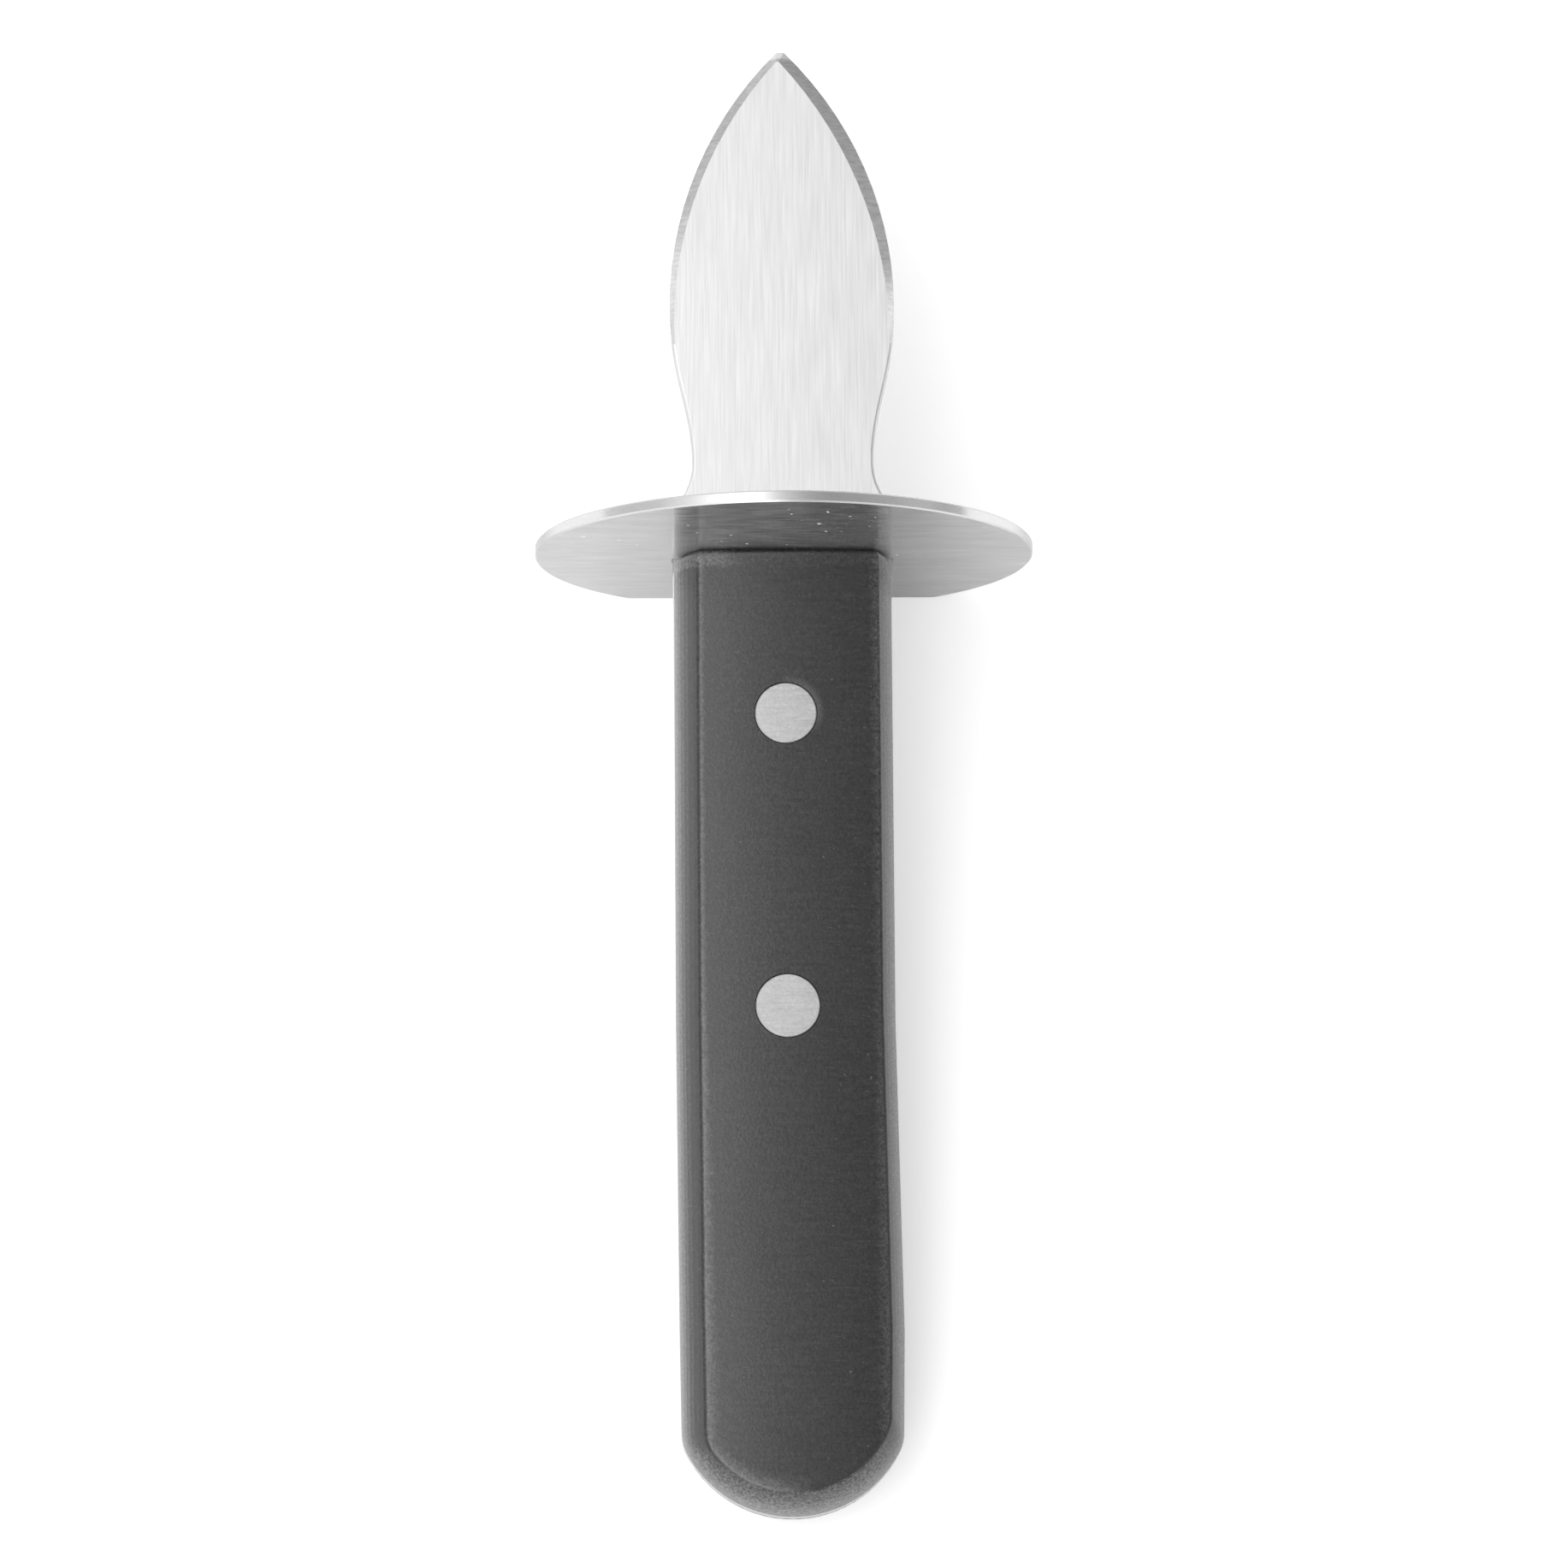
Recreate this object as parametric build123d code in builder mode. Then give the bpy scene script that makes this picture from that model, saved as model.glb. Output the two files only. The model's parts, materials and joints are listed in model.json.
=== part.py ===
from build123d import *
from math import atan2, cos, sin, sqrt
import os

# Oyster knife: a short leaf-shaped blade with a full tang, a round steel guard with one flat,
# two handle scales, and two rivets that are each a post pressed into a tube.
# Millimetres. +Y points to the tip and +Z up. The origin is the middle of the guard's flat.

# Blade steel
steel_thickness = 2.5
axis_height = 22.7
blade_length = 67.45
blade_width = 29.6
widest_station = 32.8
tip_flat = 1.0
edge_land = 0.4
left_bevel = 1.2
right_bevel = 1.75
bevel_end_station = 27.5
tip_bevel = 1.5
neck_width = 23.8
neck_station = 11.5
neck_rounding = 0.4
blade_grind = 0.05
shoulder_width = 31.0
shoulder_station = 4.6

# Guard
guard_diameter = 65.0
guard_thickness = 1.5
guard_rise = 2.4
guard_edge_break = 0.2
slot_clearance = 0.1

# Handle, from the guard to the butt: straight, then ground a little wider on the right
handle_length = 125.6
butt_length = 9.6
left_half_width = 14.4
right_half_width = 14.05
left_flare_half_width = 14.1
right_flare_half_width = 14.85
left_end_half_width = 13.9
right_end_half_width = 14.65
scale_thickness = 7.75
left_crease_inset = 3.1
right_crease_inset = 1.8
butt_crease_inset = 2.3
butt_corner_rounding = 5.0
front_rounding = 1.8

# The tang's edge, left a little proud beside the guard
tang_proud = 0.15
left_proud_length = 26.0
right_proud_length = 6.0

# Rivets
front_rivet_setback = 22.1
rear_rivet_setback = 60.5
front_rivet_head = 8.0
rear_rivet_head = 8.3
rivet_head_thickness = 2.0
rivet_post_diameter = 3.2
rivet_tube_diameter = 5.0
rivet_floor = 1.2
rivet_clearance = 0.1
rivet_fit = 0.05
rivet_end_gap = 0.3
rivet_rim_break = 0.15

# Shares of the blade's edge, of its tip and of the handle's length
bevel_middle_share = 0.45
tip_shift_share = 0.7
tip_corner_share = 0.3
straight_share = 0.49
flare_share = 0.32

# Planes and faces that the pieces share
steel_half = steel_thickness / 2
blade_half = steel_half - blade_grind
handle_half = steel_half + scale_thickness
guard_front = guard_thickness / 2
guard_rear = -guard_thickness / 2
tip_y = guard_front + blade_length
bevel_end_y = guard_front + bevel_end_station
butt_y = guard_rear - handle_length
butt_start_y = butt_y + butt_length
straight_length = handle_length * straight_share
straight_end_y = guard_rear - straight_length
flare_end_y = straight_end_y - handle_length * flare_share
axis_plane = Plane.XY.offset(axis_height)
rivet_hole_radius = rivet_tube_diameter / 2 + rivet_clearance

# The butt is one arc between the ends of the handle's sides
butt_half_width = (left_end_half_width + right_end_half_width) / 2
butt_x = (right_end_half_width - left_end_half_width) / 2
butt_radius = (butt_half_width**2 + butt_length**2) / (2 * butt_length)
butt_centre_y = butt_y + butt_radius

# Places along the handle, and its half widths there on the left and on the right
handle_stations = [
    (guard_rear, left_half_width, right_half_width),
    (straight_end_y, left_half_width, right_half_width),
    (flare_end_y, left_flare_half_width, right_flare_half_width),
    (butt_start_y, left_end_half_width, right_end_half_width),
]

# The cutting edge is one arc from the blade's widest point to the tip
edge_rise = blade_length - widest_station
edge_run = blade_width / 2 - tip_flat / 2
edge_radius = (edge_rise**2 + edge_run**2) / (2 * edge_run)
edge_centre_x = blade_width / 2 - edge_radius
edge_centre_y = guard_front + widest_station


def edge_half_width(y):
    """Half the blade's width at y, on the arc of its edge."""
    return edge_centre_x + sqrt(edge_radius**2 - (y - edge_centre_y) ** 2)


def edge_side(sign, bevel):
    """Tip corner, middle and end of one side of the leaf, inside its edge by the bevel."""
    ground = 1 if bevel else 0
    tip_x = sign * tip_flat / 2
    if ground:
        tip_x = tip_x * tip_corner_share + (left_bevel - right_bevel) * tip_shift_share
    start_angle = atan2(edge_rise, edge_radius - edge_run)
    end_angle = atan2(bevel_end_y - edge_centre_y, edge_half_width(bevel_end_y) - edge_centre_x)
    middle_angle = start_angle + (end_angle - start_angle) * bevel_middle_share
    middle_radius = edge_radius - bevel
    tip = (tip_x, tip_y - ground * tip_bevel)
    middle = (
        sign * (edge_centre_x + middle_radius * cos(middle_angle)),
        edge_centre_y + middle_radius * sin(middle_angle),
    )
    end = (sign * (edge_half_width(bevel_end_y) - ground * neck_rounding), bevel_end_y)
    return tip, middle, end


def leaf(height, left=0, right=0):
    """Leaf-shaped face at a height, inside the edge by the left and right bevels."""
    left_tip, left_middle, left_end = edge_side(-1, left)
    right_tip, right_middle, right_end = edge_side(1, right)
    with BuildSketch(Plane.XY.offset(height)) as face:
        with BuildLine():
            Line(left_tip, right_tip)
            ThreePointArc(right_tip, right_middle, right_end)
            Line(right_end, left_end)
            ThreePointArc(left_end, left_middle, left_tip)
        make_face()
    return face.sketch


# Where each rivet stands, and the width of its heads
rivets = {
    "front": (guard_rear - front_rivet_setback, front_rivet_head),
    "rear": (guard_rear - rear_rivet_setback, rear_rivet_head),
}

os.makedirs("parts", exist_ok=True)

# Blade: neck and shoulders, ground leaf, and the tang in one piece of steel. The faces in front
# of the guard are ground a little below those of the tang.
with BuildPart() as blade:
    with BuildSketch(axis_plane):
        with BuildLine():
            bevel_end = (edge_half_width(bevel_end_y), bevel_end_y)
            neck = (neck_width / 2, guard_front + neck_station)
            shoulder = (shoulder_width / 2, guard_front + shoulder_station)
            end_tangent = (bevel_end_y - edge_centre_y, edge_centre_x - bevel_end[0])
            Line((0, bevel_end_y), bevel_end)
            Spline(bevel_end, neck, tangents=[end_tangent, (0, -1)])
            TangentArc(neck, shoulder, tangent=(0, -1))
            Line(shoulder, (shoulder[0], guard_front))
            Line((shoulder[0], guard_front), (0, guard_front))
            mirror(about=Plane.YZ)
        make_face()
    extrude(amount=blade_half, both=True)
    flat_faces = blade.faces().filter_by(Axis.Z)
    soft_edges = flat_faces.edges().filter_by(lambda edge: abs(edge.tangent_at(0.5).X) < 0.9)
    fillet(soft_edges, radius=neck_rounding)

    extrude(leaf(axis_height), amount=edge_land / 2, both=True)
    for side in (1, -1):
        land = leaf(axis_height + side * edge_land / 2)
        plateau = leaf(axis_height + side * blade_half, left_bevel, right_bevel)
        loft([land, plateau], ruled=True)

    left_side = [(-left, y) for y, left, right in handle_stations[1:]]
    right_side = [(right, y) for y, left, right in handle_stations[1:]]
    with BuildSketch(axis_plane) as tang_outline:
        with BuildLine():
            Polyline(
                *reversed(left_side),
                (-left_half_width, guard_rear - left_proud_length),
                (-left_half_width - tang_proud, guard_rear),
                (-left_half_width - tang_proud, guard_front),
                (right_half_width + tang_proud, guard_front),
                (right_half_width + tang_proud, guard_rear),
                (right_half_width, guard_rear - right_proud_length),
                *right_side,
            )
            ThreePointArc(right_side[-1], (butt_x, butt_y), left_side[-1])
        make_face()
        fillet(tang_outline.vertices().group_by(Axis.Y)[0], radius=butt_corner_rounding)
        for rivet_y, _ in rivets.values():
            with Locations((0, rivet_y)):
                Circle(rivet_hole_radius, mode=Mode.SUBTRACT)
    extrude(amount=steel_half, both=True)
blade.part.label = "blade"
export_step(blade.part, "parts/blade.step")

# Guard: a disc with one flat to stand on and a slot for the tang
with BuildPart() as guard:
    with BuildSketch(Plane.XZ.offset(-guard_front)):
        with Locations((0, axis_height + guard_rise)):
            Circle(guard_diameter / 2)
        Rectangle(guard_diameter, guard_diameter, align=(Align.CENTER, Align.MAX), mode=Mode.SUBTRACT)
        with Locations(((right_half_width - left_half_width) / 2, axis_height)):
            Rectangle(
                left_half_width + right_half_width + 2 * (tang_proud + slot_clearance),
                steel_thickness + 2 * slot_clearance,
                mode=Mode.SUBTRACT,
            )
    extrude(amount=guard_thickness)
    chamfer(guard.edges().filter_by(GeomType.CIRCLE), length=guard_edge_break)
guard.part.label = "guard"
export_step(guard.part, "parts/guard.step")


def scale_section(y, left, right):
    """Section of a scale at y: flat faces, two creases, and sides that bulge towards the tang."""
    left_crease = (left_crease_inset - left, handle_half)
    right_crease = (right - right_crease_inset, handle_half)
    with BuildSketch(Plane.XZ.offset(-y)) as section:
        with BuildLine():
            Line((-left, steel_half), (right, steel_half))
            TangentArc((right, steel_half), right_crease, tangent=(0, 1))
            Line(right_crease, left_crease)
            TangentArc((-left, steel_half), left_crease, tangent=(0, 1))
        make_face()
    return section.sketch


# Bounds of a scale: its butt is turned about an upright axis, and in front of that it is open
with BuildPart() as scale_bounds:
    with BuildSketch(Plane.XZ.offset(-butt_centre_y)):
        with BuildLine():
            rim = (butt_x + butt_radius, steel_half)
            crease = (butt_x + butt_radius - butt_crease_inset, handle_half)
            Line((butt_x, handle_half), (butt_x, steel_half))
            Line((butt_x, steel_half), rim)
            TangentArc(rim, crease, tangent=(0, 1))
            Line(crease, (butt_x, handle_half))
        make_face()
    revolve(axis=Axis((butt_x, butt_centre_y, 0), (0, 0, 1)))
    with BuildSketch(Plane.XY.offset(steel_half)):
        with Locations((0, butt_centre_y)):
            Rectangle(4 * butt_radius, guard_rear - butt_centre_y, align=(Align.CENTER, Align.MIN))
    extrude(amount=scale_thickness)

# Scale, lying on the upper face of a tang whose middle is at z = 0. The butt's corners are rounded
# first and the front edges last. The creases stay sharp.
with BuildPart() as scale_form:
    extrude(scale_section(*handle_stations[0]), amount=straight_length)
    end_station = (butt_y, left_end_half_width, right_end_half_width)
    loft([scale_section(*station) for station in [*handle_stations[1:], end_station]], ruled=True)
    add(scale_bounds.part, mode=Mode.INTERSECT)
    butt_face = scale_form.faces().sort_by(Axis.Y)[0]
    fillet(butt_face.edges().filter_by(GeomType.BSPLINE), radius=butt_corner_rounding)
    front_face = scale_form.faces().sort_by(Axis.Y)[-1]
    fillet(front_face.edges().sort_by(Axis.Z)[1:], radius=front_rounding)
    for rivet_y, head_diameter in rivets.values():
        with Locations((0, rivet_y, handle_half)):
            CounterBoreHole(
                radius=rivet_hole_radius,
                counter_bore_radius=head_diameter / 2 + rivet_clearance,
                counter_bore_depth=rivet_head_thickness,
            )

# Scales: the same form above and below the tang
with BuildPart() as upper_scale:
    with Locations((0, 0, axis_height)):
        add(scale_form.part)
upper_scale.part.label = "upper_scale"
export_step(upper_scale.part, "parts/upper_scale.step")

with BuildPart() as lower_scale:
    mirror(upper_scale.part, about=axis_plane)
lower_scale.part.label = "lower_scale"
export_step(lower_scale.part, "parts/lower_scale.step")

# Rivets: a post with its head in the upper scale, pressed into a tube with its head in the lower
upper_face = axis_height + handle_half
lower_face = axis_height - handle_half
post_end = lower_face + rivet_floor + rivet_end_gap
tube_end = upper_face - rivet_head_thickness - rivet_end_gap

for name, (rivet_y, head_diameter) in rivets.items():
    rivet_axis = Location((0, rivet_y, 0))

    with BuildPart() as post:
        with BuildSketch(Plane.XY.offset(upper_face) * rivet_axis):
            Circle(head_diameter / 2)
        extrude(amount=-rivet_head_thickness)
        chamfer(post.edges().sort_by(Axis.Z)[-1], length=rivet_rim_break)
        with BuildSketch(Plane.XY.offset(post_end) * rivet_axis):
            Circle(rivet_post_diameter / 2)
        extrude(amount=upper_face - rivet_head_thickness - post_end)
    post.part.label = name + "_rivet_post"
    export_step(post.part, "parts/" + name + "_rivet_post.step")

    with BuildPart() as tube:
        with BuildSketch(Plane.XY.offset(lower_face) * rivet_axis):
            Circle(head_diameter / 2)
        extrude(amount=rivet_head_thickness)
        chamfer(tube.edges().sort_by(Axis.Z)[0], length=rivet_rim_break)
        with BuildSketch(Plane.XY.offset(lower_face + rivet_head_thickness) * rivet_axis):
            Circle(rivet_tube_diameter / 2)
        extrude(amount=tube_end - lower_face - rivet_head_thickness)
        with BuildSketch(Plane.XY.offset(lower_face + rivet_floor) * rivet_axis):
            Circle(rivet_post_diameter / 2 + rivet_fit)
        extrude(amount=tube_end - lower_face - rivet_floor, mode=Mode.SUBTRACT)
    tube.part.label = name + "_rivet_tube"
    export_step(tube.part, "parts/" + name + "_rivet_tube.step")
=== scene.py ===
import json
import math
from typing import NamedTuple

import bmesh
import bpy
from mathutils import Matrix, Vector, noise


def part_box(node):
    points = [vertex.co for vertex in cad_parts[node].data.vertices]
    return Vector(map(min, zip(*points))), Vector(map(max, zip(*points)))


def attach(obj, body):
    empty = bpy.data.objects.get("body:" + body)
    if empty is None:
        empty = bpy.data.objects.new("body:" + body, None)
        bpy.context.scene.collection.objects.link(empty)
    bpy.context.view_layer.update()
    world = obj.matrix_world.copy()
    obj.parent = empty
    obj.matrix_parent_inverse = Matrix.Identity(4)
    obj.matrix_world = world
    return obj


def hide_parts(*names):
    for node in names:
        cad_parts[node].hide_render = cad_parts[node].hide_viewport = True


# Oyster knife lying on a white table, seen almost from above, in soft light from the left.
# Metres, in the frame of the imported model: +Y to the tip, +Z up from the guard's flat.
# The materials measure in millimetres in that same frame.

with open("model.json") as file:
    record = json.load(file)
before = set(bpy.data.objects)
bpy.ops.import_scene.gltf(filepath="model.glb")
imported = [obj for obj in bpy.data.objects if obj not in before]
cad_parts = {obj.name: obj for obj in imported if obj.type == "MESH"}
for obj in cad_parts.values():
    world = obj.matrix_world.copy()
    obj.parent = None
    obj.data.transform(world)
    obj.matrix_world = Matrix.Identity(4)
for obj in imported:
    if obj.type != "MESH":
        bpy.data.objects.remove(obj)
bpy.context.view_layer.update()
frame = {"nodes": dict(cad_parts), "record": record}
MM = 0.001
WHITE = (1.0, 1.0, 1.0, 1.0)

# Camera: its direction from the knife, turn about the line of sight, distance, the nearest and
# furthest that it sees, and its lens
CAMERA_TILT = math.radians(11.007)
CAMERA_SIDE = math.radians(0.910)
CAMERA_ROLL = math.radians(0.408)
CAMERA_DISTANCE = 1.1
CAMERA_TARGET = Vector((-0.158, -30.51, 22.7)) * MM
CAMERA_SEES = (0.01, 100.0)
SENSOR_WIDTH = 36.0
LENS = 193.76

# Table: the knife rests on it with the guard's flat and with the butt's lower edge, which is
# where its crease is. The lift is added to the table's brightness where the camera sees it.
TABLE_SIZE = 6.0
TABLE_COLOUR = (0.92, 0.92, 0.92, 1.0)
TABLE_ROUGHNESS = 0.9
TABLE_LIFT = 0.37
BUTT_CREASE_INSET = 2.3 * MM

# Studio: brightness of the sky across the knife, from the left (-1) over the zenith (0) to the
# right (1), as the sine of the angle from the zenith
STUDIO_LEVELS = (
    (-1.0, 0.85),
    (-0.9, 0.90),
    (-0.75, 1.20),
    (-0.55, 1.75),
    (-0.40, 2.30),
    (-0.27, 2.35),
    (-0.17, 1.65),
    (-0.08, 1.12),
    (0.03, 0.86),
    (0.18, 0.61),
    (0.33, 0.48),
    (0.6, 0.53),
    (0.8, 0.62),
    (0.92, 0.75),
    (1.0, 0.60),
)
STUDIO_SCALE = 2.5

# Change of the sky's brightness along the knife: with the Y of a direction, and with its square
STUDIO_TURN = -0.45
STUDIO_FALL = -0.10

# Finished scale: its outer face is a little crowned, its creases are softened, and its long
# sides wander from the given share of its half width outwards. A crease is told by its angle.
CROWN = 1.30 * MM
CROWN_STRIP = 1.0 * MM
WAVE = 0.10 * MM
WAVE_LENGTH = 1.6 * MM
WAVE_START = 0.5
CREASE_SOFTENING = 0.35 * MM
CREASE_STEPS = 5
CREASE_ROUNDNESS = 0.5
CREASE_ANGLES = (math.radians(35.0), math.radians(75.0))
SAME_PLACE = 0.0005 * MM
SAME_LEVEL = 0.01 * MM


# A Mix node's vector sockets share their names with its other sockets, so they go by number
MIX_VECTORS = (4, 5)
MIX_VECTOR_RESULT = 1


class Grain(NamedTuple):
    """A noise: its features for each millimetre along x, y and z, and how it is built up."""

    per_mm: tuple
    seed: float
    detail: float = 3.0
    roughness: float = 0.55


class Swing(NamedTuple):
    """How a noise is used: the value at its middle, and how far from it the noise can go."""

    middle: float
    reach: float


class Ramp(NamedTuple):
    """Change of an output as a value goes from low to high, level outside that range."""

    low: float
    high: float
    out_low: float = 0.0
    out_high: float = 1.0


class Nodes:
    """A node tree whose nodes are made and linked by short calls."""

    def __init__(self, tree):
        self.tree = tree

    def add(self, kind, **settings):
        node = self.tree.nodes.new(kind)
        for name, value in settings.items():
            setattr(node, name, value)
        return node

    def put(self, socket, value):
        """Links a socket to a node's output, or sets it to a number, vector or colour."""
        if isinstance(value, bpy.types.NodeSocket):
            self.tree.links.new(value, socket)
        else:
            socket.default_value = value

    def split(self, vector):
        node = self.add("ShaderNodeSeparateXYZ")
        self.put(node.inputs[0], vector)
        return node.outputs["X"], node.outputs["Y"], node.outputs["Z"]

    def vector(self, operation, *values, **named):
        node = self.add("ShaderNodeVectorMath", operation=operation)
        for socket, value in zip(node.inputs, values):
            self.put(socket, value)
        for name, value in named.items():
            self.put(node.inputs[name], value)
        return node.outputs[0]

    def math(self, operation, *values):
        node = self.add("ShaderNodeMath", operation=operation)
        for socket, value in zip(node.inputs, values):
            self.put(socket, value)
        return node.outputs[0]

    def times(self, first, *others):
        for other in others:
            first = self.math("MULTIPLY", first, other)
        return first

    def plus(self, first, *others):
        for other in others:
            first = self.math("ADD", first, other)
        return first

    def length(self, along, across):
        """Length of a flat vector."""
        square = self.times(along, along)
        return self.math("SQRT", self.math("MULTIPLY_ADD", across, across, square))

    def ramp(self, value, change, interpolation="SMOOTHSTEP"):
        node = self.add("ShaderNodeMapRange", interpolation_type=interpolation)
        self.put(node.inputs["Value"], value)
        for name, number in zip(("From Min", "From Max", "To Min", "To Max"), change):
            self.put(node.inputs[name], number)
        return node.outputs["Result"]

    def mirrored(self, path):
        """1 for a ray that has been mirrored by metal or has passed through glass."""
        rays = (path.outputs["Is Glossy Ray"], path.outputs["Is Transmission Ray"])
        return self.math("MAXIMUM", *rays)


class Shader(Nodes):
    """A material. Lengths in it are millimetres in the knife's frame."""

    def __init__(self, name):
        self.material = bpy.data.materials.new(name)
        self.material.use_nodes = True
        super().__init__(self.material.node_tree)
        self.surface = self.tree.nodes["Principled BSDF"]
        place = self.add("ShaderNodeTexCoord").outputs["Object"]
        self.place = self.vector("SCALE", place, Scale=1 / MM)
        self.x, self.y, _ = self.split(self.place)
        normal = self.add("ShaderNodeNewGeometry").outputs["True Normal"]
        self.normal_x, self.normal_y, self.normal_z = self.split(normal)

    def noise(self, grain):
        """Noise from 0 to 1."""
        node = self.add("ShaderNodeTexNoise", noise_dimensions="4D")
        self.put(node.inputs["Vector"], self.vector("MULTIPLY", self.place, grain.per_mm))
        self.put(node.inputs["W"], grain.seed)
        self.put(node.inputs["Scale"], 1.0)
        self.put(node.inputs["Detail"], grain.detail)
        self.put(node.inputs["Roughness"], grain.roughness)
        return node.outputs["Fac"]

    def around(self, value, swing):
        """A noise value from 0 to 1, brought to its middle and reach."""
        centred = self.math("SUBTRACT", value, 0.5)
        return self.math("MULTIPLY_ADD", centred, 2 * swing.reach, swing.middle)

    def mix(self, factor, first, second):
        """Mixes two numbers."""
        node = self.add("ShaderNodeMix", data_type="FLOAT")
        self.put(node.inputs["Factor"], factor)
        self.put(node.inputs["A"], first)
        self.put(node.inputs["B"], second)
        return node.outputs["Result"]

    def grey(self, value):
        node = self.add("ShaderNodeCombineColor")
        for socket in node.inputs:
            self.put(socket, value)
        return node.outputs["Color"]

    def bump(self, height, distance):
        """Normal of a relief: a height of 1 stands out by a distance, in metres."""
        node = self.add("ShaderNodeBump")
        self.put(node.inputs["Strength"], 1.0)
        self.put(node.inputs["Height"], height)
        self.put(node.inputs["Distance"], distance)
        return node.outputs["Normal"]

    def crown(self, fall):
        """Height of a face that falls off to both sides of x = 0."""
        return self.times(self.x, self.x, fall)

    def spread(self, mask, first, second):
        """Direction in which a brushed face spreads its highlights, chosen by a mask."""
        choice = self.add("ShaderNodeMix", data_type="VECTOR")
        self.put(choice.inputs["Factor"], mask)
        for index, direction in zip(MIX_VECTORS, (first, second)):
            self.put(choice.inputs[index], direction)
        turn = self.add(
            "ShaderNodeVectorTransform",
            vector_type="VECTOR",
            convert_from="OBJECT",
            convert_to="WORLD",
        )
        self.put(turn.inputs["Vector"], choice.outputs[MIX_VECTOR_RESULT])
        return turn.outputs["Vector"]

    def set(self, **inputs):
        for name, value in inputs.items():
            self.put(self.surface.inputs[name.replace("_", " ")], value)


ALONG_X = (1.0, 0.0, 0.0)
ALONG_Y = (0.0, 1.0, 0.0)
ALONG_Z = (0.0, 0.0, 1.0)

# Of each material, a grain is a noise, a tone is a brightness, and a shade is a factor on a tone.
# Places and the heights of marks are in millimetres.

# Blade: its flats and its ground bevels are told apart by their normals. The crown is the fall in
# millimetres for each square millimetre, and only the shading shows it.
BLADE_ANISOTROPY = 0.8
BLADE_CROWN = 0.0006
BLADE_FLAT = Ramp(0.975, 0.995)
BLADE_BRUSHING = Grain((3.6, 0.10, 3.6), seed=1.0, roughness=0.6)
BLADE_CLOUDS = Grain((0.5, 0.05, 0.5), seed=2.0)
BEVEL_GRINDING = Grain((0.6, 2.4, 0.6), seed=3.0, roughness=0.7)
BLADE_MARKS = 0.004
FLAT_SHADE = Swing(1.0, 0.24)
FLAT_TONE = Swing(0.85, 0.04)
FLAT_ROUGHNESS = Swing(0.30, 0.06)
BEVEL_TONE = Swing(0.63, 0.30)
BEVEL_ROUGHNESS = Swing(0.36, 0.08)

# Edges that are polished, not ground: at the neck and at the very tip
POLISHED_NECK = Ramp(24.0, 32.0, 1.0, 0.0)
POLISHED_TIP = Ramp(66.8, 67.5)
POLISHED_TONE = 0.95
POLISHED_ROUGHNESS = 0.60

# Painted shade on the tang, just behind the guard, where it shows in the nook between the guard
# and the scales' rounded front corners
TANG_PAINTED_SHADE_START = Ramp(-3.4, -2.2)
TANG_PAINTED_SHADE_END = Ramp(-0.7, -0.3, 1.0, 0.0)
TANG_PAINTED_SHADE = 0.5


def blade_steel():
    """Stainless steel: flats brushed along the blade, bevels ground across their edges."""
    s = Shader("blade_steel")
    s.set(Metallic=1.0, Anisotropic=BLADE_ANISOTROPY)
    flat = s.ramp(s.math("ABSOLUTE", s.normal_z), BLADE_FLAT)
    fine = s.noise(BLADE_BRUSHING)
    clouds = s.noise(BLADE_CLOUDS)
    ground = s.noise(BEVEL_GRINDING)
    flat_tone = s.times(s.around(fine, FLAT_SHADE), s.around(clouds, FLAT_TONE))
    polished = s.math("MAXIMUM", s.ramp(s.y, POLISHED_NECK), s.ramp(s.y, POLISHED_TIP))
    edge_tone = s.mix(polished, s.around(ground, BEVEL_TONE), POLISHED_TONE)
    edge_rough = s.mix(polished, s.around(ground, BEVEL_ROUGHNESS), POLISHED_ROUGHNESS)
    # Painted shade on the tang in the nook just behind the guard
    joint = s.times(s.ramp(s.y, TANG_PAINTED_SHADE_START), s.ramp(s.y, TANG_PAINTED_SHADE_END))
    tang_painted_shade = s.mix(joint, 1.0, TANG_PAINTED_SHADE)
    s.set(Base_Color=s.grey(s.times(tang_painted_shade, s.mix(flat, edge_tone, flat_tone))))
    s.set(Roughness=s.mix(flat, edge_rough, s.around(fine, FLAT_ROUGHNESS)))
    marks = s.times(s.mix(flat, ground, fine), BLADE_MARKS)
    s.set(Normal=s.bump(s.math("SUBTRACT", marks, s.crown(BLADE_CROWN)), MM))
    s.set(Tangent=s.spread(flat, ALONG_Y, ALONG_X))
    return s.material


# Guard: its two faces and its rim are told apart by their normals
GUARD_ANISOTROPY = 0.95
GUARD_FACE = Ramp(0.9, 0.98)
GUARD_BRUSHING = Grain((0.20, 1.5, 1.5), seed=4.0, detail=5.0, roughness=0.75)
GUARD_STREAKS = Grain((0.12, 0.55, 0.55), seed=5.0, detail=4.0, roughness=0.75)
RIM_TURNING = Grain((0.5, 5.0, 0.5), seed=6.0)
GUARD_DENTS = Grain((0.9, 0.7, 0.7), seed=13.0, detail=1.0)
DENT_LEVEL = Ramp(0.74, 0.78)
DENT_ROUGHNESS = 0.90
GUARD_SHADE = Swing(1.0, 0.22)
GUARD_TONE = Swing(0.76, 0.22)
GUARD_ROUGHNESS = Swing(0.22, 0.12)
RIM_TONE = Swing(0.68, 0.06)
RIM_ROUGHNESS = Swing(0.28, 0.05)
RIM_MARKS = 0.4
GUARD_RELIEF = 0.006 * MM


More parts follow.
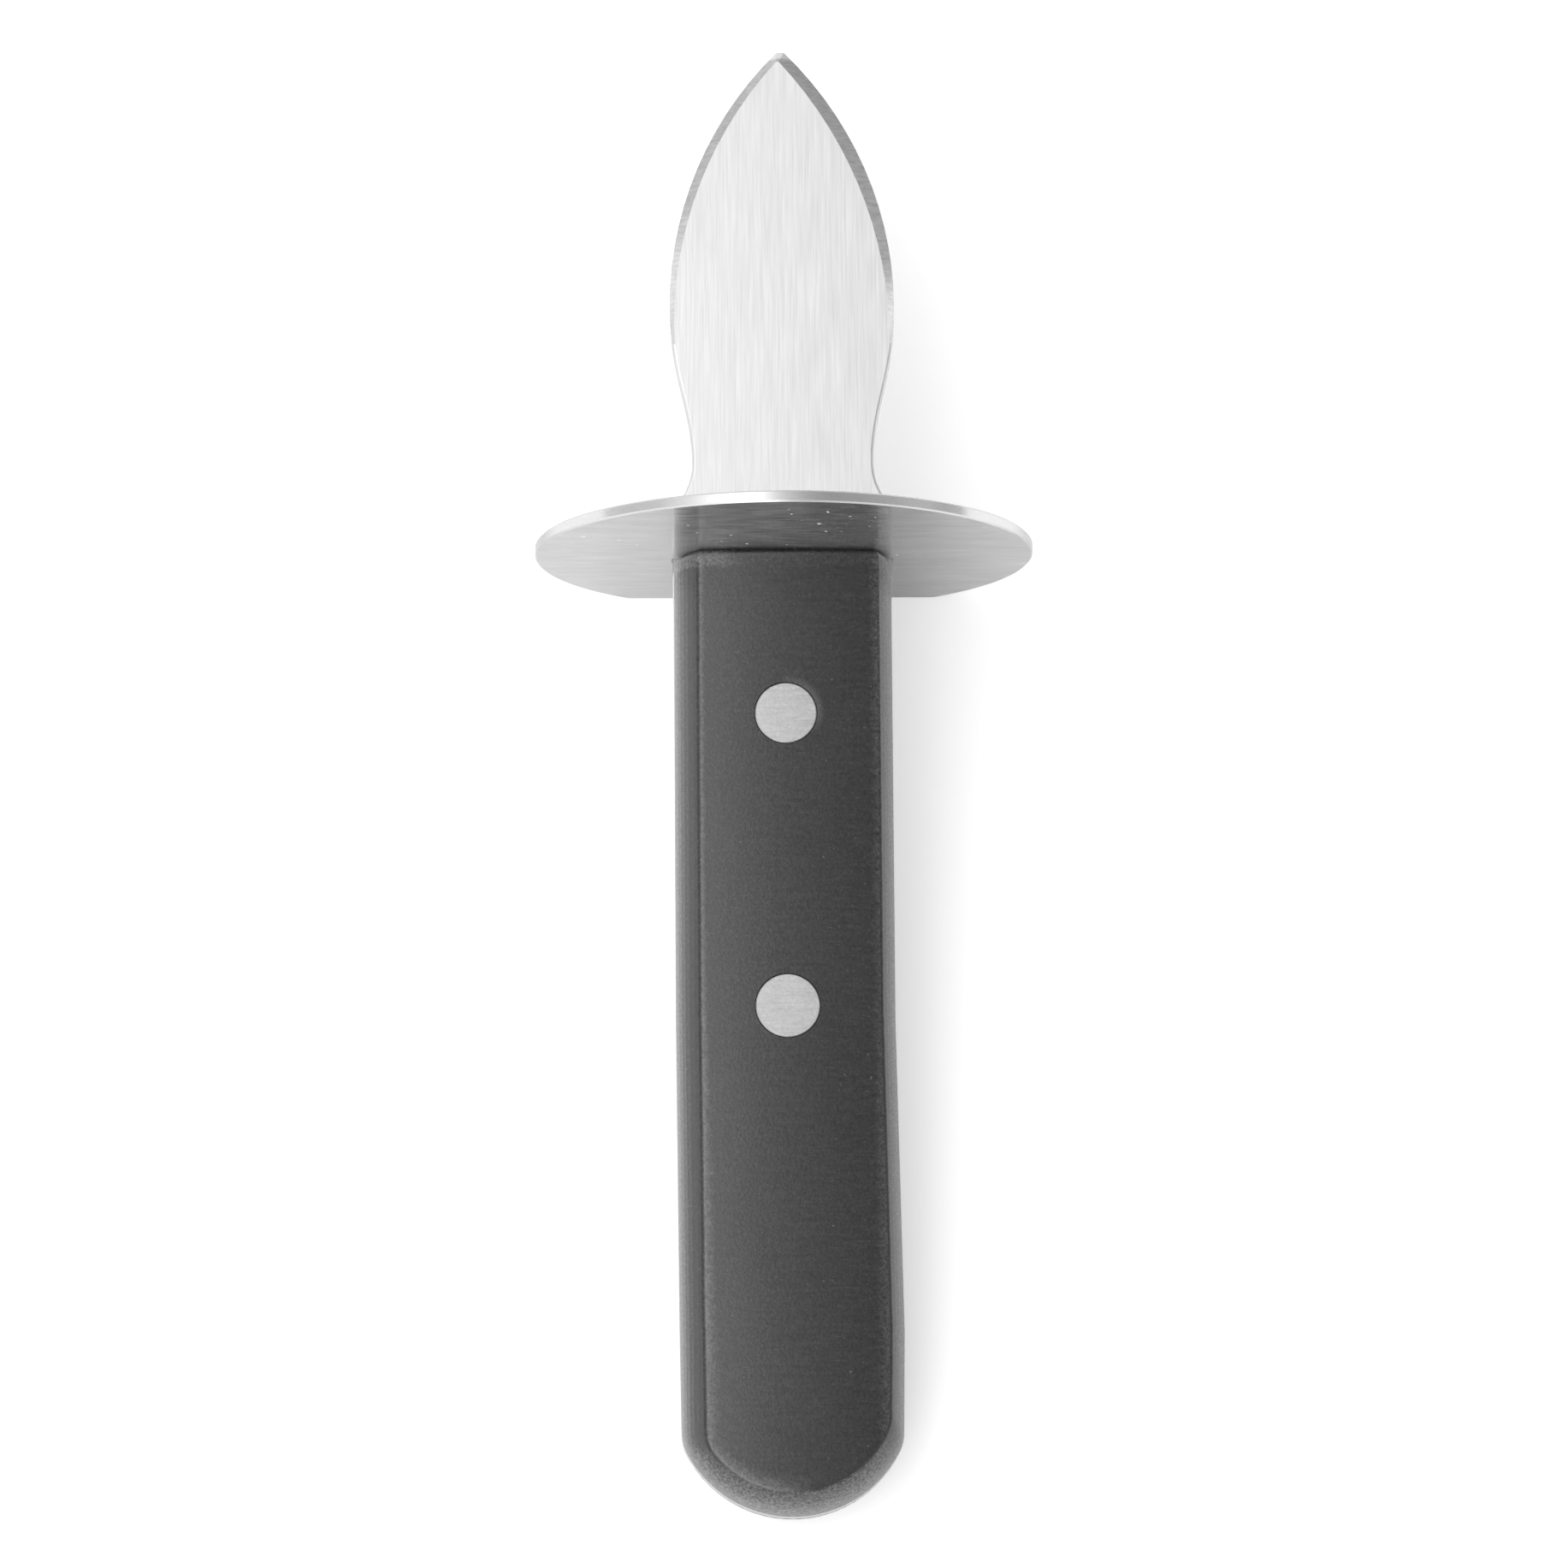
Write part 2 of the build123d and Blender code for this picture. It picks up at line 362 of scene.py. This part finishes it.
def guard_steel():
    """Stainless steel sheet brushed straight across the disc, with a turned rim."""
    s = Shader("guard_steel")
    s.set(Metallic=1.0, Anisotropic=GUARD_ANISOTROPY)
    face = s.ramp(s.math("ABSOLUTE", s.normal_y), GUARD_FACE)
    fine = s.noise(GUARD_BRUSHING)
    streaks = s.noise(GUARD_STREAKS)
    rim = s.noise(RIM_TURNING)
    dents = s.ramp(s.noise(GUARD_DENTS), DENT_LEVEL)
    face_tone = s.times(s.around(fine, GUARD_SHADE), s.around(streaks, GUARD_TONE))
    face_rough = s.mix(dents, s.around(fine, GUARD_ROUGHNESS), DENT_ROUGHNESS)
    s.set(Base_Color=s.grey(s.mix(face, s.around(rim, RIM_TONE), face_tone)))
    s.set(Roughness=s.mix(face, s.around(rim, RIM_ROUGHNESS), face_rough))
    s.set(Normal=s.bump(s.mix(face, s.times(rim, RIM_MARKS), fine), GUARD_RELIEF))
    s.set(Tangent=s.spread(face, ALONG_Y, ALONG_Z))
    return s.material


# Creases of the scales: the left one is straight, the right one turns out a little towards the
# butt, and the butt's is an arc
LEFT_CREASE_X = -11.2
RIGHT_CREASE_X = 12.15
RIGHT_CREASE_TURN = -0.004
BUTT_CREASE_RADIUS = 13.1
BUTT_CENTRE_Y = -110.9
FRONT_RIVET_Y = -22.85
RIVET_HOLE_RADIUS = 4.1

# Lighter band along the left crease and at the left of the butt's, partly wear and partly a
# painted highlight of the light from the left: its width at places along the knife, how ragged
# it is, and where it fades. The right crease is frayed in a narrow band.
CREASE_BAND_WIDTH = Ramp(-115.0, -45.0, 2.4, 0.9)
CREASE_BAND_RAGGED = Swing(0.0, 0.5)
CREASE_BAND_ACROSS = Ramp(-3.0, 4.0, 1.0, 0.0)
CREASE_BAND_ALONG = Ramp(-100.0, 0.0, 1.0, 0.75)
CREASE_BAND_FADE = Ramp(0.0, 1.0, 1.0, 0.0)
FRAYED_WIDTH = 1.6
FRAYED_RAGGED = Swing(0.0, 0.4)


def crease_wear_and_painted_highlight(s, ragged):
    """1 on a scale's face at its left crease and at the left of its butt's crease, where wear and a
    painted highlight lighten it.
    """
    from_side = s.math("SUBTRACT", s.x, LEFT_CREASE_X)
    behind = s.math("MINIMUM", s.math("SUBTRACT", s.y, BUTT_CENTRE_Y), 0.0)
    from_butt = s.math("SUBTRACT", BUTT_CREASE_RADIUS, s.length(behind, s.x))
    distance = s.math("MINIMUM", from_side, from_butt)
    share = s.math("DIVIDE", distance, s.ramp(s.y, CREASE_BAND_WIDTH))
    wear_and_painted_highlight = s.ramp(s.plus(share, s.around(ragged, CREASE_BAND_RAGGED)), CREASE_BAND_FADE)
    return s.times(wear_and_painted_highlight, s.ramp(s.x, CREASE_BAND_ACROSS), s.ramp(s.y, CREASE_BAND_ALONG))


def frayed_crease(s, ragged):
    """1 on a scale's face at its right crease, with a ragged fade to the inside."""
    crease = s.math("MULTIPLY_ADD", s.y, RIGHT_CREASE_TURN, RIGHT_CREASE_X)
    share = s.math("DIVIDE", s.math("SUBTRACT", crease, s.x), FRAYED_WIDTH)
    return s.ramp(s.plus(share, s.around(ragged, FRAYED_RAGGED)), CREASE_BAND_FADE)


# Painted highlight beside the front rivet, of plastic pushed up there into a bulge that the
# scale's form lacks: the direction in which it lies, and how it fades away from the hole and
# towards its ends
RING_DIRECTION = (0.85, 0.5)
RING_FADE = Ramp(RIVET_HOLE_RADIUS + 0.1, RIVET_HOLE_RADIUS + 1.1, 1.0, 0.0)
RING_SIDE = Ramp(0.2, 1.0)


def rivet_ring_painted_highlight(s):
    """1 on a scale's face beside the front rivet, at its upper right, where a highlight is painted.
    """
    along = s.math("SUBTRACT", s.y, FRONT_RIVET_Y)
    radius = s.length(along, s.x)
    side = s.math("MULTIPLY_ADD", s.x, RING_DIRECTION[0], s.times(along, RING_DIRECTION[1]))
    ring = s.ramp(radius, RING_FADE)
    return s.times(ring, s.ramp(s.math("DIVIDE", side, radius), RING_SIDE))


# Plastic: the buffed face, the steep sides and the rounded butt are told apart by normals and
# place. The strip of the sides that faces furthest to the left is lighter: a painted highlight of
# the light from the left.
PLASTIC_IOR = 1.5
PLASTIC_SPECULAR = 0.85
PLASTIC_FACE = Ramp(0.90, 0.97)
PLASTIC_STEEP = Ramp(0.10, 0.62, 1.0, 0.0)
BUTT_SLOPE = Ramp(0.25, 0.55)
BUTT_START = Ramp(-118.0, -110.0, 1.0, 0.0)
LEFT_SIDE_PAINTED_HIGHLIGHT = Ramp(-1.0, -0.78, 0.09, 0.0)
FACE_MARKS = Grain((0.16, 2.6, 2.6), seed=7.0, roughness=0.6)
PLASTIC_GRAIN = Grain((2.6, 2.6, 2.6), seed=8.0, detail=2.0, roughness=0.8)
PLASTIC_CLOUDS = Grain((0.10, 0.06, 0.10), seed=9.0, detail=2.0)
RAGGED_EDGE = Grain((1.2, 1.2, 1.2), seed=15.0, detail=2.0)
PLASTIC_SPECKS = Grain((2.4, 2.4, 2.4), seed=12.0, detail=1.0)
FACE_SCRATCHES = Grain((0.25, 7.0, 7.0), seed=16.0, detail=1.0)
SPECK_LEVEL = Ramp(0.72, 0.77, 0.0, 0.08)
SCRATCH_LEVEL = Ramp(0.70, 0.76, 0.0, 0.03)
CLOUD_TONE = Swing(0.014, 0.006)
MARK_TONE = Swing(0.0, 0.014)
GRAIN_CENTRED = Swing(0.0, 1.0)
GRAIN_TONE = Ramp(-11.0, 6.0, 0.055, 0.033)
DARKEST = 0.002
PATCH_TONE = Swing(0.065, 0.14)
BUTT_TONE = Swing(0.020, 0.23)
SIDE_TONE = Swing(0.16, 0.15)
CREASE_WEAR_AND_PAINTED_HIGHLIGHT_TONE = Swing(0.085, 0.10)
FRAYED_TONE = Swing(0.030, 0.07)
RIVET_RING_PAINTED_HIGHLIGHT = 0.05
MARK_ROUGHNESS = Swing(0.24, 0.06)
GRAIN_ROUGHNESS = Swing(0.0, 0.06)
SIDE_ROUGHNESS = Swing(0.24, 0.06)
BUTT_ROUGHNESS = Swing(0.40, 0.10)
MARK_HEIGHT = 0.6
PLASTIC_RELIEF = 0.028 * MM

# Lighter patch at the front left of the face, partly wear and partly a painted highlight of the
# light from the left, with a ragged rear edge
PATCH_RAGGED = Swing(0.0, 0.8)
PATCH_START = Ramp(-3.5, -2.8)
PATCH_ACROSS = Ramp(-9.0, -5.5, 1.0, 0.15)


def scale_plastic():
    """Black plastic: a face buffed with fine marks across it, and sides and butt left speckled."""
    s = Shader("scale_plastic")
    s.set(Metallic=0.0, IOR=PLASTIC_IOR, Specular_IOR_Level=PLASTIC_SPECULAR)
    upright = s.math("ABSOLUTE", s.normal_z)
    face = s.ramp(upright, PLASTIC_FACE)
    steep = s.ramp(upright, PLASTIC_STEEP)
    slope = s.ramp(s.math("ABSOLUTE", s.normal_y), BUTT_SLOPE)
    butt = s.times(slope, s.ramp(s.y, BUTT_START))
    marks = s.noise(FACE_MARKS)
    grain = s.noise(PLASTIC_GRAIN)
    ragged = s.noise(RAGGED_EDGE)
    specks = s.ramp(s.noise(PLASTIC_SPECKS), SPECK_LEVEL)
    scratches = s.ramp(s.noise(FACE_SCRATCHES), SCRATCH_LEVEL)
    patch_start = s.ramp(s.plus(s.y, s.around(ragged, PATCH_RAGGED)), PATCH_START)
    patch = s.times(patch_start, s.ramp(s.x, PATCH_ACROSS))
    wear_and_painted_highlight = s.times(crease_wear_and_painted_highlight(s, ragged), s.around(grain, CREASE_WEAR_AND_PAINTED_HIGHLIGHT_TONE))
    frayed = s.times(frayed_crease(s, ragged), s.around(grain, FRAYED_TONE))

    tone = s.plus(s.around(s.noise(PLASTIC_CLOUDS), CLOUD_TONE), s.around(marks, MARK_TONE))
    grain_tone = s.ramp(s.x, GRAIN_TONE)
    tone = s.math("MULTIPLY_ADD", s.around(grain, GRAIN_CENTRED), grain_tone, tone)
    tone = s.math("MAXIMUM", tone, DARKEST)
    tone = s.plus(tone, s.plus(specks, s.times(scratches, face)))
    # The front left patch is lighter partly from wear and partly as a painted highlight
    for mask, swing in ((patch, PATCH_TONE), (butt, BUTT_TONE), (steep, SIDE_TONE)):
        tone = s.plus(tone, s.times(mask, s.around(grain, swing)))
    # Along the left crease: wear and a painted highlight of the light from the left; along the
    # right: wear
    tone = s.plus(tone, s.times(face, s.plus(wear_and_painted_highlight, frayed)))
    # Painted highlights: beside the front rivet, and on the sides where they face the light on the
    # left
    tone = s.plus(tone, s.times(rivet_ring_painted_highlight(s), RIVET_RING_PAINTED_HIGHLIGHT), s.ramp(s.normal_x, LEFT_SIDE_PAINTED_HIGHLIGHT))
    s.set(Base_Color=s.grey(s.math("MAXIMUM", tone, DARKEST)))

    buffed = s.plus(s.around(marks, MARK_ROUGHNESS), s.around(grain, GRAIN_ROUGHNESS))
    rounded = s.mix(butt, s.around(grain, SIDE_ROUGHNESS), s.around(grain, BUTT_ROUGHNESS))
    s.set(Roughness=s.mix(face, rounded, buffed))
    height = s.plus(s.times(marks, s.times(face, MARK_HEIGHT)), grain)
    s.set(Normal=s.bump(height, PLASTIC_RELIEF))
    return s.material


# Rivets: the crown is like the blade's
RIVET_ANISOTROPY = 0.3
RIVET_CROWN = 0.0026
RIVET_BRUSHING = Grain((0.3, 3.5, 0.3), seed=10.0, roughness=0.6)
RIVET_GRAIN = Grain((2.4, 2.4, 2.4), seed=14.0, detail=2.0, roughness=0.7)
RIVET_CLOUDS = Grain((0.3, 0.3, 0.3), seed=11.0, detail=2.0)
RIVET_TONE = Swing(0.555, 0.05)
RIVET_SHADE = Swing(1.0, 0.25)
RIVET_ROUGHNESS = Swing(0.42, 0.08)
RIVET_MARKS = 0.006


def rivet_metal():
    """Aluminium, ground flush with the handle and left satin."""
    s = Shader("rivet_metal")
    s.set(Metallic=1.0, Anisotropic=RIVET_ANISOTROPY)
    fine = s.noise(RIVET_BRUSHING)
    grain = s.noise(RIVET_GRAIN)
    clouds = s.noise(RIVET_CLOUDS)
    tone = s.times(s.around(fine, RIVET_SHADE), s.around(clouds, RIVET_TONE))
    s.set(Base_Color=s.grey(s.times(tone, s.around(grain, RIVET_SHADE))))
    s.set(Roughness=s.around(fine, RIVET_ROUGHNESS))
    marks = s.times(s.plus(fine, grain), RIVET_MARKS)
    s.set(Normal=s.bump(s.math("SUBTRACT", marks, s.crown(RIVET_CROWN)), MM))
    s.set(Tangent=s.spread(0.0, ALONG_Y, ALONG_Y))
    return s.material


def is_crease(edge, level):
    """True for an edge between a scale's outer face, at a level, and one of its bulging sides."""
    if len(edge.link_faces) != 2:
        return False
    if any(abs(vertex.co.z - level) > SAME_LEVEL for vertex in edge.verts):
        return False
    return CREASE_ANGLES[0] < edge.calc_face_angle() < CREASE_ANGLES[1]


def cut_strips(form, low, high, axis):
    """Cuts a form across an axis, strip by strip, so that it can bend between its ends."""
    count = math.ceil((high[axis] - low[axis]) / CROWN_STRIP)
    for index in range(1, count):
        point = Vector(low)
        point[axis] += (high[axis] - low[axis]) * index / count
        normal = Vector((0, 0, 0))
        normal[axis] = 1
        bmesh.ops.bisect_plane(
            form,
            geom=[*form.verts, *form.edges, *form.faces],
            dist=SAME_PLACE,
            plane_co=point,
            plane_no=normal,
        )


def shape_scale(form, level, joint, low, high):
    """Crowns a scale's outer face and lets its sides wander, with the joint left as it is."""
    cut_strips(form, low, high, 0)
    cut_strips(form, low, high, 1)
    middle = (low.x + high.x) / 2
    half_width = (high.x - low.x) / 2
    outward = 1 if level > joint else -1
    for vertex in form.verts:
        across = (vertex.co.x - middle) / half_width
        height = (vertex.co.z - joint) / (level - joint)
        wander = noise.noise(Vector((across, outward, vertex.co.y / WAVE_LENGTH)))
        vertex.co.x += WAVE * wander * height * max(abs(across) - WAVE_START, 0.0)
        vertex.co.z -= outward * CROWN * min(abs(across), 1.0) ** 2 * height


def finish_scale(name, upper):
    """A scale as its maker leaves it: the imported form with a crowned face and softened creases."""
    low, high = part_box(name)
    level, joint = (high.z, low.z) if upper else (low.z, high.z)
    form = bmesh.new()
    form.from_mesh(frame["nodes"][name].data)
    bmesh.ops.remove_doubles(form, verts=form.verts, dist=SAME_PLACE)
    bmesh.ops.bevel(
        form,
        geom=[edge for edge in form.edges if is_crease(edge, level)],
        offset=CREASE_SOFTENING,
        offset_type="OFFSET",
        segments=CREASE_STEPS,
        profile=CREASE_ROUNDNESS,
        affect="EDGES",
        clamp_overlap=False,
    )
    bmesh.ops.triangulate(form, faces=form.faces)
    shape_scale(form, level, joint, low, high)
    for face in form.faces:
        face.smooth = True
    for edge in form.edges:
        edge.smooth = edge.is_manifold and edge.calc_face_angle() < CREASE_ANGLES[0]
    mesh = bpy.data.meshes.new(name + "_finished")
    form.to_mesh(mesh)
    form.free()
    if "custom_normal" in mesh.attributes:
        mesh.attributes.remove(mesh.attributes["custom_normal"])
    piece = bpy.data.objects.new(name + "_finished", mesh)
    bpy.context.scene.collection.objects.link(piece)
    shading = piece.modifiers.new("weighted_normals", "WEIGHTED_NORMAL")
    shading.keep_sharp = True
    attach(piece, "root")
    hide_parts(name)
    return piece


def dress():
    """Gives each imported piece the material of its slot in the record, and finishes the scales."""
    materials = {
        "blade_steel": blade_steel(),
        "guard_steel": guard_steel(),
        "scale_plastic": scale_plastic(),
        "rivet_metal": rivet_metal(),
    }
    for part in frame["record"]["subparts"]:
        piece = frame["nodes"][part["node"]]
        piece.data.materials.clear()
        piece.data.materials.append(materials[part["material_slot"]])
    for name, upper in (("upper_scale", True), ("lower_scale", False)):
        finish_scale(name, upper).data.materials.append(materials["scale_plastic"])


def camera_axes():
    """Right, up and backward directions of the camera."""
    level = math.cos(CAMERA_TILT)
    back = Vector(
        (
            -math.sin(CAMERA_SIDE) * level,
            -math.sin(CAMERA_TILT),
            math.cos(CAMERA_SIDE) * level,
        )
    )
    level_up = Vector(ALONG_Y)
    level_up = (level_up - back * level_up.dot(back)).normalized()
    level_right = level_up.cross(back)
    right = level_right * math.cos(CAMERA_ROLL) - level_up * math.sin(CAMERA_ROLL)
    up = level_right * math.sin(CAMERA_ROLL) + level_up * math.cos(CAMERA_ROLL)
    return right, up, back


def make_camera():
    data = bpy.data.cameras.new("camera")
    data.sensor_width = SENSOR_WIDTH
    data.lens = LENS
    data.clip_start, data.clip_end = CAMERA_SEES
    camera = bpy.data.objects.new("camera", data)
    right, up, back = camera_axes()
    turn = Matrix((right, up, back)).transposed().to_4x4()
    camera.matrix_world = Matrix.Translation(CAMERA_TARGET + back * CAMERA_DISTANCE) @ turn
    bpy.context.scene.collection.objects.link(camera)
    bpy.context.scene.camera = camera


# Oval on the table in which the knife's shadow falls: its half width, half length and middle, and
# how the white that metal and glass see sets in outside it
SHADOW_WIDTH = 50.0
SHADOW_LENGTH = 120.0
SHADOW_CENTRE_Y = -30.0
SHADOW_EDGE = Ramp(1.0, 1.6)


def table_white():
    """White table: diffuse, and lifted to white where the camera sees it.

    Metal and glass see the lifted table too, but not in the oval of the knife's own shadow.
    """
    s = Shader("table_white")
    s.set(Base_Color=TABLE_COLOUR, Roughness=TABLE_ROUGHNESS, Specular_IOR_Level=0.0)
    along = s.math("DIVIDE", s.math("SUBTRACT", s.y, SHADOW_CENTRE_Y), SHADOW_LENGTH)
    across = s.math("DIVIDE", s.x, SHADOW_WIDTH)
    outside = s.ramp(s.length(across, along), SHADOW_EDGE)
    path = s.add("ShaderNodeLightPath")
    mirrored = s.times(s.mirrored(path), outside)
    seen = s.math("MAXIMUM", path.outputs["Is Camera Ray"], mirrored)
    s.set(Emission_Color=WHITE, Emission_Strength=s.times(seen, TABLE_LIFT))
    return s.material


def table_pose():
    """Where the guard's rear face touches the table, as a y, and how steeply the table falls from
    there towards the butt in the knife's own frame.
    """
    guard_low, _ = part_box("guard")
    scale_low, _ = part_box("upper_scale")
    under_low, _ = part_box("lower_scale")
    butt_y = scale_low.y + BUTT_CREASE_INSET
    return guard_low.y, math.atan2(under_low.z, guard_low.y - butt_y)


def make_table(touch_y, slope):
    """Large sheet under the two places where the knife rests."""
    mesh = bpy.data.meshes.new("table")
    half = TABLE_SIZE / 2
    corners = [(-half, -half, 0), (half, -half, 0), (half, half, 0), (-half, half, 0)]
    mesh.from_pydata(corners, [], [(0, 1, 2, 3)])
    mesh.materials.append(table_white())
    table = bpy.data.objects.new("table", mesh)
    table.matrix_world = Matrix.Translation((0, touch_y, 0)) @ Matrix.Rotation(-slope, 4, "X")
    bpy.context.scene.collection.objects.link(table)


def sky_levels(nodes, position):
    """Brightness of the sky, as a share of STUDIO_SCALE, at a position from 0 to 1 across it."""
    levels = nodes.add("ShaderNodeValToRGB")
    levels.color_ramp.interpolation = "EASE"
    stops = levels.color_ramp.elements
    while len(stops) > 1:
        stops.remove(stops[-1])
    for index, (sine, level) in enumerate(STUDIO_LEVELS):
        place = (sine + 1) / 2
        share = level / STUDIO_SCALE
        stop = stops[0] if index == 0 else stops.new(place)
        stop.position = place
        stop.color = (share, share, share, 1.0)
    nodes.put(levels.inputs["Fac"], position)
    return levels.outputs["Color"]


def make_world(slope):
    """Soft studio sky: a long softbox to the left of the zenith, and darker to the right.

    The camera sees plain white in its place, and below the table's level metal and glass do too.
    """
    world = bpy.data.worlds.new("studio")
    world.use_nodes = True
    bpy.context.scene.world = world
    w = Nodes(world.node_tree)
    direction = w.add("ShaderNodeTexCoord").outputs["Generated"]
    unit = w.vector("NORMALIZE", w.vector("MULTIPLY", direction, (1.0, 0.0, 1.0)))
    side, _, _ = w.split(unit)
    _, along, height = w.split(direction)
    fall = w.math("MULTIPLY_ADD", along, STUDIO_FALL * STUDIO_SCALE, STUDIO_TURN * STUDIO_SCALE)
    sky = w.tree.nodes["Background"]
    w.put(sky.inputs["Color"], sky_levels(w, w.ramp(side, Ramp(-1.0, 1.0), "LINEAR")))
    w.put(sky.inputs["Strength"], w.math("MULTIPLY_ADD", along, fall, STUDIO_SCALE))
    backdrop = w.add("ShaderNodeBackground")
    w.put(backdrop.inputs["Color"], WHITE)
    path = w.add("ShaderNodeLightPath")
    below = w.math("LESS_THAN", height, -math.sin(slope))
    seen = w.math("MAXIMUM", path.outputs["Is Camera Ray"], w.times(w.mirrored(path), below))
    choice = w.add("ShaderNodeMixShader")
    shown = (seen, sky.outputs["Background"], backdrop.outputs["Background"])
    for socket, value in zip(choice.inputs, shown):
        w.put(socket, value)
    w.put(w.tree.nodes["World Output"].inputs["Surface"], choice.outputs["Shader"])


touch_y, slope = table_pose()
make_camera()
make_table(touch_y, slope)
make_world(slope)
dress()
bpy.context.scene.view_settings.view_transform = "Standard"
